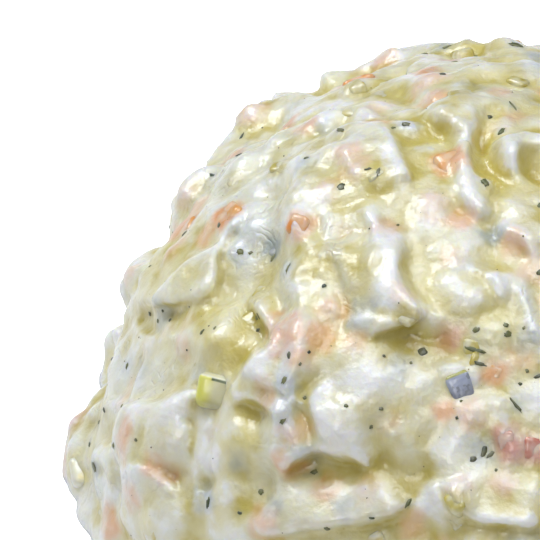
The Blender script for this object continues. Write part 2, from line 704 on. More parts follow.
# %% Dice that the photograph shows
# Pixel, size in mm, and how bare it lies, from 0 to 1
SEEN_DICE = {
    "carrot": (
        (188, 226, 3.0, 0.75), (228, 216, 3.7, 0.95), (208, 236, 2.9, 0.6), (297, 226, 2.4, 0.75),
        (306, 125, 2.0, 0.5), (434, 77, 3.0, 0.45), (378, 105, 2.6, 0.25), (450, 163, 3.4, 0.75),
        (349, 150, 2.6, 0.45), (326, 190, 2.6, 0.3), (430, 208, 3.4, 0.3), (514, 244, 2.4, 0.45),
        (68, 462, 3.4, 0.3), (125, 433, 2.6, 0.6), (121, 450, 2.6, 0.5), (131, 497, 2.9, 0.5),
        (110, 524, 4.4, 0.65), (273, 320, 1.8, 0.6), (322, 338, 3.0, 0.55), (356, 343, 1.8, 0.5),
        (334, 312, 3.1, 0.4), (284, 466, 2.6, 0.55), (327, 488, 2.6, 0.5), (494, 371, 2.0, 0.8),
        (517, 356, 3.1, 0.35), (472, 414, 2.4, 0.45), (264, 522, 3.7, 0.45), (412, 524, 2.6, 0.4),
        (250, 110, 2.9, 0.35), (182, 194, 2.2, 0.3), (514, 117, 2.2, 0.35), (433, 98, 2.6, 0.55),
        (302, 358, 2.0, 0.55), (455, 258, 2.0, 0.4), (156, 462, 1.8, 0.6), (268, 395, 2.2, 0.35),
        (295, 428, 2.6, 0.35), (498, 92, 1.6, 0.5), (404, 292, 2.2, 0.25), (128, 272, 2.0, 0.35),
    ),
    "pickle": (
        (354, 84, 2.6, 0.7), (378, 97, 2.6, 0.7), (398, 98, 2.6, 0.6), (384, 76, 3.0, 0.4),
        (412, 69, 2.0, 0.4), (462, 97, 3.0, 0.7), (520, 80, 2.6, 0.7), (506, 60, 2.2, 0.35),
        (492, 48, 2.2, 0.5), (442, 110, 2.6, 0.6), (278, 166, 2.2, 0.7), (376, 173, 2.4, 0.8),
        (400, 193, 3.0, 0.6), (410, 214, 2.4, 0.5), (355, 213, 1.8, 0.6), (338, 248, 2.6, 0.5),
        (361, 262, 3.4, 0.6), (360, 278, 2.6, 0.5), (259, 293, 2.0, 0.7), (268, 276, 1.8, 0.5),
        (252, 326, 3.4, 0.7), (244, 347, 3.0, 0.6), (225, 358, 3.0, 0.4), (252, 410, 2.4, 0.8),
        (170, 372, 2.6, 0.4), (176, 388, 2.4, 0.55), (104, 410, 2.0, 0.6), (166, 440, 2.4, 0.5),
        (155, 450, 2.0, 0.45), (373, 412, 2.4, 0.55), (421, 420, 2.6, 0.4), (472, 350, 2.0, 0.7),
        (478, 362, 2.0, 0.7), (456, 502, 2.6, 0.7), (457, 525, 1.8, 0.7), (434, 139, 1.8, 0.7),
        (370, 143, 2.0, 0.4), (312, 178, 2.0, 0.5), (232, 180, 1.8, 0.5), (206, 268, 2.6, 0.4),
        (148, 268, 3.0, 0.35), (150, 325, 3.4, 0.5), (318, 286, 3.4, 0.4), (308, 300, 2.6, 0.35),
        (186, 485, 1.8, 0.6), (160, 478, 2.6, 0.4), (306, 370, 2.4, 0.5), (490, 160, 3.6, 0.55),
        (497, 190, 2.0, 0.45), (531, 165, 3.0, 0.5), (534, 222, 2.6, 0.5), (496, 212, 2.4, 0.3),
        (518, 215, 2.2, 0.35), (456, 308, 1.8, 0.5), (510, 308, 2.0, 0.35), (384, 330, 2.4, 0.45),
        (372, 352, 2.8, 0.4), (310, 246, 2.4, 0.35), (470, 70, 3.0, 0.3), (340, 352, 2.6, 0.3),
        (280, 480, 3.0, 0.3), (360, 522, 3.0, 0.4), (320, 520, 3.0, 0.35), (290, 532, 3.4, 0.4),
        (340, 405, 2.0, 0.35), (498, 405, 2.0, 0.4), (394, 512, 2.4, 0.45), (120, 415, 2.4, 0.35),
        (438, 350, 1.6, 0.3), (528, 190, 2.4, 0.4),
    ),
    "pepper": (
        (507, 440, 2.6, 0.75), (510, 450, 2.0, 0.6), (536, 448, 2.2, 0.7), (504, 482, 2.0, 0.35),
        (452, 338, 1.8, 0.5), (156, 464, 1.6, 0.4), (174, 478, 1.4, 0.5), (458, 486, 1.6, 0.4),
        (446, 344, 1.4, 0.4), (344, 232, 1.2, 0.3), (388, 424, 1.8, 0.25),
    ),
    "root": (
        (160, 258, 4.6, 0.5), (182, 286, 4.4, 0.5), (205, 330, 4.4, 0.5), (235, 318, 4.2, 0.5),
        (330, 84, 4.0, 0.4), (300, 96, 3.4, 0.4), (232, 436, 4.2, 0.5), (250, 448, 3.6, 0.5),
        (330, 150, 3.6, 0.35), (210, 300, 4.0, 0.4), (345, 410, 3.2, 0.35), (398, 446, 4.0, 0.3),
        (270, 470, 4.0, 0.35), (498, 108, 3.2, 0.4), (340, 222, 3.0, 0.35), (440, 285, 3.4, 0.3),
        (300, 500, 4.2, 0.35), (470, 250, 3.0, 0.3), (480, 300, 3.4, 0.3), (150, 420, 3.4, 0.35),
    ),
    "dark": (
        (274, 250, 1.9, 0.8), (494, 238, 1.8, 0.7), (399, 368, 2.0, 0.45), (484, 453, 2.4, 0.5),
        (287, 413, 1.8, 0.5), (208, 497, 2.2, 0.5), (165, 317, 2.8, 0.5), (330, 130, 2.0, 0.35),
        (447, 46, 2.4, 0.5), (305, 166, 2.0, 0.35), (240, 459, 1.8, 0.5), (274, 508, 1.8, 0.5),
        (525, 343, 1.8, 0.5), (288, 384, 2.0, 0.45), (96, 469, 1.8, 0.5), (240, 250, 2.4, 0.25),
        (286, 268, 1.4, 0.5), (312, 465, 2.6, 0.35), (540, 60, 3.0, 0.5), (347, 511, 1.6, 0.4),
        (460, 263, 2.2, 0.35), (127, 366, 1.6, 0.4), (408, 126, 1.6, 0.4),
    ),
}
print("dice in the photograph:", sum(len(rows) for rows in SEEN_DICE.values()))

# %% Dice on the bare core
DIE_COUNT = 900
DIE_SPACING = 3.0
DIE_SIZE = (1.6, 4.2)
DIE_SIZE_POWER = 1.4
LOWEST_DIE = 3
DIE_SHARE = (0.62, 1.0)
DIE_TIP = math.radians(14)
BUMP_SHARE = (0.05, 0.15)
KIND_SHARES = {"carrot": 22, "pickle": 30, "pepper": 6, "root": 34, "dark": 8}
BARE_SPAN = (0.2, 0.95)
BARE_POWER = 1.7
DARK_BARE = 0.55

core_tree = BVHTree.FromObject(cream, bpy.context.evaluated_depsgraph_get())
generator = random.Random(DIE_SEED)
dice = []


def frame_at(point, outward):
    """The turn at a point of the surface whose Z runs outwards."""
    level = Vector((0, 0, 1)).cross(outward)
    level = level.normalized() if level.length > 1e-3 else Vector((1, 0, 0))
    return Matrix((level, outward.cross(level), outward)).transposed()


def lay_die(kind, point, outward, size, bare):
    """Notes one die: where it lies, its turn and sides, how bare it is and how far it pushes the cream."""
    spin = Matrix.Rotation(generator.uniform(0, math.tau), 3, "Z")
    tip = Matrix.Rotation(generator.uniform(-DIE_TIP, DIE_TIP), 3, "X")
    shares = Vector((1, generator.uniform(*DIE_SHARE), generator.uniform(*DIE_SHARE)))
    rise = size * MM * generator.uniform(*BUMP_SHARE)
    turn = frame_at(point, outward) @ spin @ tip
    die = {"kind": kind, "place": point, "outward": outward, "turn": turn, "sides": shares * size * MM}
    dice.append(die | {"bare": bare, "rise": rise})


for kind, rows in SEEN_DICE.items():
    for across, down, size, bare in rows:
        point, normal, _, _ = core_tree.ray_cast(camera_place, sight_line(across, down))
        if point is not None:
            outward = (normal + (point / HEAP_RADIUS).normalized()).normalized()
            lay_die(kind, point, outward, size, bare)
seen_count = len(dice)
spots = [die["place"].normalized() for die in dice]
for azimuth, elevation in even_directions(DIE_COUNT, generator, DIE_SPACING):
    outward = direction(azimuth, elevation)
    size = DIE_SIZE[0] + (DIE_SIZE[1] - DIE_SIZE[0]) * generator.random() ** DIE_SIZE_POWER
    kind = generator.choices(list(KIND_SHARES), list(KIND_SHARES.values()))[0]
    bare = generator.uniform(*BARE_SPAN) ** BARE_POWER * (DARK_BARE if kind == "dark" else 1)
    if elevation < LOWEST_DIE or any(outward.angle(spot) < math.radians(DIE_SPACING) for spot in spots):
        continue
    point = core_tree.ray_cast(outward * 2 * HEAP_RADIUS, -outward)[0]
    if point is not None:
        lay_die(kind, point, outward, size, bare)
        spots.append(outward)
print("dice:", seen_count, "by pixel,", len(dice) - seen_count, "by rule")

# %% [markdown]
# ## The cream over the dice
#
# Each die pushes a soft bump into the core. The bumped surface is then rebuilt as one even skin and cut
# flat underneath. How deep a point lies under a smoothed copy tells the material where the hollows are.

# %% Drape the cream
FILM_GRID = 0.40 * MM
FILM_ROUNDS = 2
CREAM_TRIANGLES = 190000
BUMP_SPAN = 0.8
BUMP_POWER = 2.6
BUMP_SEARCH = 1.4


def bump_heights(points, dice):
    """How far the dice push the cream outwards at each point: the highest bump counts."""
    heights = np.zeros(len(points))
    for die in dice:
        reach = die["sides"].x * BUMP_SPAN
        offset = points - np.array(die["place"])
        near = np.flatnonzero((np.abs(offset) < BUMP_SEARCH * reach).all(axis=1))
        local = offset[near] @ np.array(die["turn"])
        reached = (np.abs(local[:, 0]) / reach) ** BUMP_POWER + (np.abs(local[:, 1]) / reach) ** BUMP_POWER
        bump = die["rise"] * (1 - np.minimum(reached ** (2 / BUMP_POWER), 1)) ** 2
        heights[near] = np.maximum(heights[near], bump)
    return heights


def normals_of(obj):
    flat = np.empty(len(obj.data.vertices) * 3, np.float32)
    obj.data.vertices.foreach_get("normal", flat)
    return flat.reshape(-1, 3)


core_points = points_of(cream)
bumps = bump_heights(core_points, dice)
place_points(cream, core_points + normals_of(cream) * bumps[:, None])
apply_modifier(cream, "REMESH", mode="VOXEL", voxel_size=FILM_GRID)
apply_modifier(cream, "SMOOTH", factor=0.5, iterations=FILM_ROUNDS)
cut_flat(cream, 0)
if triangle_count(cream) > CREAM_TRIANGLES:
    share = CREAM_TRIANGLES / triangle_count(cream)
    apply_modifier(cream, "DECIMATE", ratio=share, use_collapse_triangulate=True)
cream.data.shade_smooth()
film_tree = BVHTree.FromObject(cream, bpy.context.evaluated_depsgraph_get())
print("cream triangles:", triangle_count(cream))

# %% Where the cream lies deep
BROAD_ROUNDS = 90
FINE_ROUNDS = 10
BROAD_DEPTH = 1.0 * MM
FINE_DEPTH = 0.2 * MM
cream_points = points_of(cream)
cream_normals = normals_of(cream)


def depth_under(obj, rounds, full):
    """How far each point lies under a smoothed copy of the surface, as a share of a full depth."""
    copy = bpy.data.objects.new("smoothed", obj.data.copy())
    bpy.context.scene.collection.objects.link(copy)
    apply_modifier(copy, "SMOOTH", factor=0.5, iterations=rounds)
    gap = points_of(copy) - cream_points
    bpy.data.objects.remove(copy)
    return np.clip((gap * cream_normals).sum(axis=1) / full, -1, 1)


hollow_depth = depth_under(cream, BROAD_ROUNDS, BROAD_DEPTH)
store(cream, "hollow", hollow_depth)
store(cream, "crease", depth_under(cream, FINE_ROUNDS, FINE_DEPTH))
print("deep share:", round(float((hollow_depth > 0.5).mean()), 2))


# %% [markdown]
# ## Herbs and pepper
#
# The flecks in view are placed by their pixels and the others follow a rule. Each lies sunk to half its
# thickness in the cream.

# %% Herb flecks and ground pepper
# Pixel, length and width in mm
SEEN_HERBS = (
    (340, 130, 1.4, 0.45), (406, 124, 0.9, 0.7), (393, 128, 0.6, 0.4), (306, 158, 0.7, 0.4),
    (341, 187, 1.0, 0.8), (490, 117, 0.6, 0.5), (513, 106, 1.7, 0.25), (516, 45, 1.7, 0.9),
    (184, 234, 0.9, 0.5), (219, 225, 0.6, 0.5), (94, 467, 1.3, 0.8), (127, 366, 0.7, 0.6),
    (423, 352, 1.1, 0.9), (476, 330, 0.8, 0.6), (508, 334, 0.9, 0.6), (506, 325, 0.6, 0.5),
    (314, 472, 0.8, 0.6), (372, 518, 0.8, 0.3), (408, 503, 1.1, 0.4), (261, 492, 0.6, 0.6),
    (284, 380, 0.9, 0.5), (283, 421, 0.8, 0.5), (473, 459, 0.8, 0.6), (208, 503, 1.2, 0.45),
    (324, 286, 0.5, 0.5), (447, 47, 1.2, 0.4), (273, 258, 1.0, 0.4), (150, 314, 0.6, 0.5),
    (158, 321, 0.5, 0.4), (170, 320, 0.4, 0.4), (163, 311, 0.4, 0.3), (538, 376, 0.9, 0.4),
    (240, 252, 0.8, 0.6), (305, 398, 0.4, 0.4), (346, 406, 0.5, 0.4), (371, 427, 0.4, 0.4),
    (381, 409, 0.5, 0.4), (240, 513, 0.7, 0.3), (104, 410, 0.8, 0.4), (136, 440, 0.4, 0.4),
    (242, 136, 1.1, 0.3), (212, 175, 0.9, 0.4), (484, 451, 1.5, 0.5), (491, 454, 1.1, 0.4),
    (475, 350, 2.2, 0.45), (480, 364, 1.4, 0.4), (516, 405, 1.9, 0.35), (288, 268, 1.3, 0.25),
    (378, 172, 1.2, 0.4), (368, 169, 0.8, 0.3), (457, 418, 0.4, 0.3), (520, 384, 0.4, 0.4),
    (527, 371, 0.4, 0.4), (384, 356, 0.35, 0.3), (411, 363, 0.35, 0.3), (258, 330, 0.4, 0.4),
    (122, 406, 0.5, 0.3), (398, 225, 0.35, 0.3), (461, 401, 0.3, 0.3), (466, 392, 0.35, 0.3),
    (309, 352, 0.4, 0.3), (300, 364, 0.4, 0.3), (187, 350, 0.25, 0.2), (524, 328, 0.4, 0.3),
    (496, 470, 0.35, 0.3),
)
print("herb flecks in the photograph:", len(SEEN_HERBS))

# %% Lay the flecks
HERB_COUNT = 330
HERB_LENGTH = (0.35, 1.3)
HERB_THICKNESS = 0.22
KNOWN_SHARE = 0.85
FLECK_SHAPES = 5
FLECK_UNEVEN = 0.3
SPECK_COUNT = 380
SPECK_SIZE = (0.07, 0.22)
SPECK_SIZE_POWER = 2
HERB_WIDTH_SHARE = 0.6
LOWEST_FLECK = 3
FLECK_SEED = 5
fleck_generator = random.Random(FLECK_SEED)


def model_fleck(rounds):
    """A small uneven crumb of size 1, as its points and faces."""
    bpy.ops.object.select_all(action="DESELECT")
    bpy.ops.mesh.primitive_ico_sphere_add(subdivisions=rounds, radius=0.5)
    fleck = bpy.context.object
    for vertex in fleck.data.vertices:
        vertex.co *= 1 + fleck_generator.uniform(-FLECK_UNEVEN, FLECK_UNEVEN)
    return model_from(fleck)


herb_models = [model_fleck(2) for _ in range(FLECK_SHAPES)]
speck_models = [model_fleck(1) for _ in range(FLECK_SHAPES)]


def lying_at(point, outward, length, width, thickness):
    """The matrix of a fleck that lies on the surface, sunk to half its thickness."""
    spin = Matrix.Rotation(fleck_generator.uniform(0, math.tau), 3, "Z")
    sides = Matrix.Diagonal((length * MM, width * MM, thickness * MM)).to_4x4()
    return Matrix.Translation(point) @ (frame_at(point, outward) @ spin).to_4x4() @ sides


def scattered(count, lowest, generator):
    """Points of the film, with the way outwards, spread by a rule over the whole heap."""
    for _ in range(count):
        azimuth = generator.uniform(-180, 180)
        elevation = math.degrees(math.asin(generator.uniform(math.sin(math.radians(lowest)), 1)))
        outward = direction(azimuth, elevation)
        point, normal, _, _ = film_tree.ray_cast(outward * 2 * HEAP_RADIUS, -outward)
        if point is not None:
            yield point, normal


herb_places, herb_matrices = [], []
for across, down, length, width in SEEN_HERBS:
    point, normal, _, _ = film_tree.ray_cast(camera_place, sight_line(across, down))
    if point is not None:
        herb_matrices.append(lying_at(point, normal, length, width, HERB_THICKNESS))
        herb_places.append((point, length))
for point, normal in scattered(HERB_COUNT, LOWEST_FLECK, fleck_generator):
    across, down = pixels_of(np.array([point]))[0]
    facing = (camera_place - point).normalized().dot(normal) > 0
    seen = facing and across < IMAGE_SIDE and down < IMAGE_SIDE
    length = fleck_generator.uniform(*HERB_LENGTH)
    if seen and fleck_generator.random() < KNOWN_SHARE:
        continue
    width = length * HERB_WIDTH_SHARE
    herb_matrices.append(lying_at(point, normal, length, width, HERB_THICKNESS))
    herb_places.append((point, length))
speck_matrices = []
for point, normal in scattered(SPECK_COUNT, LOWEST_FLECK, fleck_generator):
    size = SPECK_SIZE[0] + (SPECK_SIZE[1] - SPECK_SIZE[0]) * fleck_generator.random() ** SPECK_SIZE_POWER
    speck_matrices.append(lying_at(point, normal, size, size, size))
herbs = joined("herb_flecks", herb_models, herb_matrices)
specks = joined("ground_pepper", speck_models, speck_matrices)
print("herb flecks:", len(herb_matrices), "specks:", len(speck_matrices))

# %% [markdown]
# ## What lies bare
#
# The barest dice come out of the cream, each kind as one piece. Two larger things are laid by eye: a
# courgette cube with green skin, and a chip with dark skin.

# %% Bare dice
BARE_FROM = 0.68
SHOW_OVER = 0.02 * MM


def die_matrix(die):
    """The matrix of a die whose outer face stands a little over the film."""
    point = film_tree.find_nearest(die["place"] + die["outward"] * die["rise"])[0]
    middle = point - die["turn"].col[2] * (die["sides"].z / 2 - SHOW_OVER)
    return Matrix.Translation(middle) @ die["turn"].to_4x4() @ Matrix.Diagonal(die["sides"]).to_4x4()


pieces = {}
for kind in KIND_SHARES:
    bare = [die for die in dice if die["kind"] == kind and die["bare"] > BARE_FROM]
    pieces[kind] = joined(kind + "_dice", die_models, [die_matrix(die) for die in bare])
    print(kind, "dice in view:", len(bare))

# %% The courgette cube and the dark chip
# Pixel, sides in mm, turn in degrees, how deep the middle lies, and how narrow the far end of X is
COURGETTE = (218, 393, (4.4, 3.9, 3.6), 15, 0.30, 0.92)
CHIP = (462, 391, (4.2, 2.5, 1.6), 66, 0.36, 0.7)
EYE_BEVEL = 0.2


def laid_by_eye(name, across, down, sides, turn, sink, far_end):
    """A soft-edged block at this pixel, its broad face turned to the camera and spun by the turn."""
    bpy.ops.object.select_all(action="DESELECT")
    bpy.ops.mesh.primitive_cube_add(size=1)
    block = bpy.context.object
    for vertex in block.data.vertices:
        vertex.co.y *= far_end if vertex.co.x > 0 else 1
        vertex.co += Vector([die_generator.uniform(-DIE_UNEVEN, DIE_UNEVEN) / 2 for _ in range(3)])
    apply_modifier(block, "BEVEL", width=EYE_BEVEL, segments=4)
    model = model_from(block)
    point = film_tree.ray_cast(camera_place, sight_line(across, down))[0]
    towards = (camera_place - point).normalized()
    middle = point - towards * sides[2] * MM * sink
    turned_face = frame_at(middle, towards) @ Matrix.Rotation(math.radians(-turn), 3, "Z")
    scale = Matrix.Diagonal(Vector(sides) * MM).to_4x4()
    matrix = Matrix.Translation(middle) @ turned_face.to_4x4() @ scale
    piece = joined(name, [model], [matrix])
    store(piece, "end", model[0][:, 0] * 2)
    return piece


courgette = laid_by_eye("courgette_cube", *COURGETTE)
chip = laid_by_eye("dark_skin_chip", *CHIP)

# %% [markdown]
# ## Stains and wetness
#
# Dice and herbs that lie under the film colour it, the more the barer they are. Wet places are smoother
# and wrinkled, and thick cream is whiter than thin cream.

# %% Which dice show through the film
KIND_COLOURS = {
    "carrot": (0.82, 0.33, 0.07),
    "pickle": (0.60, 0.50, 0.10),
    "pepper": (0.68, 0.20, 0.14),
    "root": (0.80, 0.73, 0.34),
    "dark": (0.30, 0.37, 0.42),
}
HERB_STAIN = (0.42, 0.50, 0.44)
HERB_REACH = 0.9
SHOW_DEPTH = 1.5 * MM
HERB_STAIN_SHARE = 0.5
STAIN_POWER = 3
STAIN_SEARCH = 1.3
FACE_SHARE = 0.7
stain = np.zeros((len(cream_points), 3))
stain_weight = np.full(len(cream_points), 1e-9)
stain_share = np.zeros(len(cream_points))


def add_stain(near, share, colour):
    """Colours these points by the share of the stain, blended with the stains that lie there already."""
    weight = share**STAIN_POWER
    stain[near] += weight[:, None] * np.array(colour)
    stain_weight[near] += weight
    stain_share[near] = np.maximum(stain_share[near], share)


for die in dice:
    reach = die["sides"].x / 2 + SHOW_DEPTH
    offset = cream_points - np.array(die["place"])
    near = np.flatnonzero((np.abs(offset) < STAIN_SEARCH * reach).all(axis=1))
    local = np.abs(offset[near] @ np.array(die["turn"]))
    gap = np.maximum(local[:, :2] - np.array(die["sides"])[:2] / 2 * FACE_SHARE, 0)
    share = 1 - soft_step(np.linalg.norm(gap, axis=1), 0, SHOW_DEPTH)
    add_stain(near, share * die["bare"], KIND_COLOURS[die["kind"]])
for point, length in herb_places:
    offset = cream_points - np.array(point)
    reach = length * MM * HERB_REACH
    near = np.flatnonzero((np.abs(offset) < reach).all(axis=1))
    share = 1 - soft_step(np.linalg.norm(offset[near], axis=1), 0, reach)
    add_stain(near, share * HERB_STAIN_SHARE, HERB_STAIN)
layer = cream.data.attributes.new("stain", "FLOAT_COLOR", "POINT")
stain = np.c_[stain / stain_weight[:, None], np.ones(len(stain))]
layer.data.foreach_set("color", stain.astype(np.float32).ravel())
store(cream, "stain_share", stain_share)
print("stained share:", round(float((stain_share > 0.3).mean()), 2))

# %% Where the cream is wet and wrinkled
# Pixel of the middle, half length and half width in pixels, and turn in degrees
WET_ZONES = (
    (255, 150, 36, 55, 30), (205, 188, 42, 22, -25), (240, 262, 20, 56, 12), (284, 330, 9, 100, 2),
    (140, 372, 46, 26, 0), (84, 450, 20, 60, 10), (350, 76, 18, 22, 0), (118, 482, 34, 22, 0),
    (266, 440, 9, 60, 0), (112, 350, 12, 60, 0), (332, 240, 8, 70, -14), (145, 255, 40, 9, -38),
    (270, 215, 20, 30, 0), (530, 310, 10, 40, -15),
)
# Pixel of the middle, half length and half width in pixels, turn in degrees, and amount: above 0 the
# cream is thin and yellow there, and below 0 it is thick and white
TINTS = (
    (165, 262, 36, 26, -30, 0.9), (208, 335, 34, 22, 10, 0.9), (238, 352, 18, 12, -60, 0.8),
    (378, 178, 26, 14, 40, 0.8), (488, 158, 14, 30, 0, 0.9), (532, 168, 14, 24, 0, 0.8),
    (318, 296, 16, 44, 0, 0.7), (356, 262, 16, 18, 0, 0.6), (424, 345, 52, 14, 4, 0.7),
    (318, 468, 40, 12, 6, 0.7), (456, 506, 14, 12, 40, 0.8), (254, 410, 14, 10, 20, 1.0),
    (240, 442, 20, 30, 0, 0.5), (372, 86, 26, 12, 6, 0.7), (148, 300, 26, 10, 0, 0.8),
    (514, 74, 16, 10, 0, 0.7), (444, 100, 14, 12, 0, 0.5), (396, 450, 44, 26, 0, 0.4),
    (300, 510, 50, 14, 0, 0.5), (150, 480, 24, 14, 0, 0.4), (388, 158, 20, 8, 50, -0.8),
    (345, 112, 26, 8, 0, -0.8), (352, 140, 16, 14, 0, -0.5), (390, 240, 15, 13, 0, -0.9),
    (405, 304, 22, 12, 40, -1.0), (326, 430, 12, 34, 0, -0.8), (345, 384, 30, 12, 0, -0.7),
    (466, 180, 9, 50, 0, -0.8), (506, 228, 34, 10, 20, -0.9), (110, 490, 34, 16, -20, -0.9),
    (208, 470, 8, 50, 0, -0.9), (262, 355, 16, 26, 20, -0.9), (430, 505, 12, 22, -20, -0.8),
    (245, 235, 14, 50, 12, -0.7), (284, 360, 8, 60, 4, -0.7), (496, 282, 24, 10, 20, -0.6),
    (505, 400, 20, 12, 0, -0.6), (455, 445, 40, 12, -10, -0.6), (310, 205, 14, 24, 0, -0.6),
    (106, 370, 20, 24, 0, -0.6), (160, 415, 30, 10, 0, -0.7), (290, 405, 10, 30, 0, -0.6),
    (415, 70, 40, 8, 0, -0.5), (350, 214, 10, 20, 0, -0.5),
)


def zone_shares(pixels, zones):
    return sum(blob_rise(pixels, *zone) / MM for zone in zones)


wet = np.zeros(len(cream_points))
tint = np.zeros(len(cream_points))
for turn, share in zip(SECTOR_TURNS, sector_shares(cream_points)):
    used = share > 0
    pixels = pixels_of(turned(cream_points[used], -turn))
    wet[used] += np.clip(zone_shares(pixels, [(*zone, 1) for zone in WET_ZONES]), 0, 1) * share[used]
    tint[used] += np.clip(zone_shares(pixels, TINTS), -1, 1) * share[used]
store(cream, "wet", wet)
store(cream, "tint", tint)
print("wet share:", round(float((wet > 0.5).mean()), 2))

# %% [markdown]
# ## Materials
#
# The cream is a thick, glossy dressing that light enters. Its whiteness is mostly reflected light, and it
# turns yellow in the hollows, where light passes from wall to wall. So the colour follows the measured
# depth, the light is scattered under the surface, and two layers of gloss lie on it. The vegetables keep
# patches of the film.

# %% Helpers for materials
def add_node(tree, kind, **values):
    """A node of this kind with these values on its sockets; a socket given as a value is linked."""
    node = tree.nodes.new(kind)
    for name, value in values.items():
        plug(tree, node.inputs[name.replace("_", " ")], value)
    return node


def plug(tree, socket, value):
    if isinstance(value, bpy.types.NodeSocket):
        tree.links.new(value, socket)
    elif isinstance(value, tuple) and socket.type == "RGBA":
        socket.default_value = (*value, 1)
    else:
        socket.default_value = value


def attribute(tree, name, output="Fac"):
    node = tree.nodes.new("ShaderNodeAttribute")
    node.attribute_name = name
    return node.outputs[output]


def cloud(tree, scale, detail=2):
    """Smooth noise from 0 to 1 in the object's own space."""
    place = tree.nodes.new("ShaderNodeTexCoord").outputs["Object"]
    return add_node(tree, "ShaderNodeTexNoise", Vector=place, Scale=scale, Detail=detail).outputs["Fac"]


def ramp(tree, source, low, high, to_low=0.0, to_high=1.0):
    node = add_node(tree, "ShaderNodeMapRange", Value=source)
    node.interpolation_type = "SMOOTHSTEP"
    for name, value in zip(("From Min", "From Max", "To Min", "To Max"), (low, high, to_low, to_high)):
        node.inputs[name].default_value = value
    return node.outputs["Result"]


def clouded(tree, scale, *span):
    return ramp(tree, cloud(tree, scale), *span)


def maths(tree, operation, first, second=0.0):
    node = tree.nodes.new("ShaderNodeMath")
    node.operation = operation
    plug(tree, node.inputs[0], first)
    plug(tree, node.inputs[1], second)
    return node.outputs["Value"]


def weighted(tree, *terms):
    """The sum of these values, each given with its weight."""
    total = maths(tree, "MULTIPLY", *terms[0])
    for term in terms[1:]:
        total = maths(tree, "ADD", total, maths(tree, "MULTIPLY", *term))
    return total


def mix(tree, share, first, second):
    node = tree.nodes.new("ShaderNodeMix")
    node.data_type = "RGBA"
    plug(tree, node.inputs["Factor"], share)
    plug(tree, node.inputs[6], first)
    plug(tree, node.inputs[7], second)
    return node.outputs[2]


def new_group(name, inputs, outputs):
    """An empty shader node group with these named sockets, and its input and output nodes."""
    group = bpy.data.node_groups.new(name, "ShaderNodeTree")
    for labels, way in ((inputs, "INPUT"), (outputs, "OUTPUT")):
        for label, kind in labels:
            group.interface.new_socket(label, in_out=way, socket_type=kind)
    return group, group.nodes.new("NodeGroupInput"), group.nodes.new("NodeGroupOutput")


def place_group(tree, group, **values):
    node = tree.nodes.new("ShaderNodeGroup")
    node.node_tree = group
    for name, value in values.items():
        plug(tree, node.inputs[name], value)
    return node


SCATTER_REACH = (1.0, 0.85, 0.35)


def new_look(name, roughness, coat, scatter, radius, coat_roughness=0.12):
    """A material whose plain numbers sit on the shader's own sockets, with its tree and its shader."""
    look = bpy.data.materials.new(name)
    look.use_nodes = True
    shader = look.node_tree.nodes["Principled BSDF"]
    shader.inputs["Roughness"].default_value = roughness
    shader.inputs["Specular IOR Level"].default_value = 1.0
    shader.inputs["Coat Weight"].default_value = coat
    shader.inputs["Coat Roughness"].default_value = coat_roughness
    shader.inputs["Subsurface Weight"].default_value = scatter
    shader.inputs["Subsurface Radius"].default_value = SCATTER_REACH
    shader.inputs["Subsurface Scale"].default_value = radius
    return look, look.node_tree, shader


# %% Shared effects
# Scales are in waves for each metre
WAVE_SCALE = 150
WAVE_TURNS = 48.0
WAVE_SHARPNESS = 5.0
WAVE_HEIGHT = -0.4
WAVE_PATCH_SCALE = 260
WAVE_PATCH_SPAN = (0.45, 0.62)
GRAIN_SCALE = 1400
LUMP_SCALE = 430
FILM_SCALE = 620
FILM_SPAN = (0.35, 0.65)
wave, wave_in, wave_out = new_group(
    "wet_relief",
    (("Wrinkles", "NodeSocketFloat"), ("Grain", "NodeSocketFloat")),
    (("Height", "NodeSocketFloat"),),
)
lines = maths(wave, "SINE", maths(wave, "MULTIPLY", cloud(wave, WAVE_SCALE, 3), WAVE_TURNS))
lines = maths(wave, "POWER", maths(wave, "ABSOLUTE", lines), WAVE_SHARPNESS)
wrinkled = ramp(wave, cloud(wave, WAVE_PATCH_SCALE), *WAVE_PATCH_SPAN)
lines = maths(wave, "MULTIPLY", lines, wrinkled)
lines = maths(wave, "MULTIPLY", lines, wave_in.outputs["Wrinkles"])
lines = maths(wave, "MULTIPLY", lines, WAVE_HEIGHT)
fine = maths(wave, "MULTIPLY", cloud(wave, GRAIN_SCALE), wave_in.outputs["Grain"])
total = maths(wave, "ADD", maths(wave, "ADD", cloud(wave, LUMP_SCALE), fine), lines)
wave.links.new(total, wave_out.inputs["Height"])

film, film_in, film_out = new_group(
    "film_patches",
    (("Colour", "NodeSocketColor"), ("Film", "NodeSocketColor"), ("Cover", "NodeSocketFloat")),
    (("Colour", "NodeSocketColor"),),
)
patches = ramp(film, cloud(film, FILM_SCALE), *FILM_SPAN)
patches = maths(film, "MULTIPLY", patches, film_in.outputs["Cover"])
patched = mix(film, patches, film_in.outputs["Colour"], film_in.outputs["Film"])
film.links.new(patched, film_out.inputs["Colour"])
print("shared effects:", wave.name, film.name)

# %% Cream material
WHITE = (0.95, 0.96, 0.96)
PALE = (0.87, 0.87, 0.78)
WARM = (0.80, 0.74, 0.43)
OLIVE = (0.62, 0.52, 0.12)
GOLD = (0.56, 0.42, 0.05)
WET_GREY = (0.82, 0.85, 0.83)
BUMP_DEPTH = 0.32 * MM

# How much the hollow, the crease and the tint count, and the span over which each colour comes in
TONE_WEIGHTS = (0.9, 0.3, 0.45)
CREST_WEIGHTS = (1.0, 0.5, 0.7)
WARM_SPAN = (-0.2, 0.6)
OLIVE_SPAN = (0.35, 1.2)
GOLD_SPAN = (0.95, 1.7)
WHITE_SPAN = (-0.75, -0.1)
DAB_WEIGHT = 0.5
WET_SHARE = 0.5
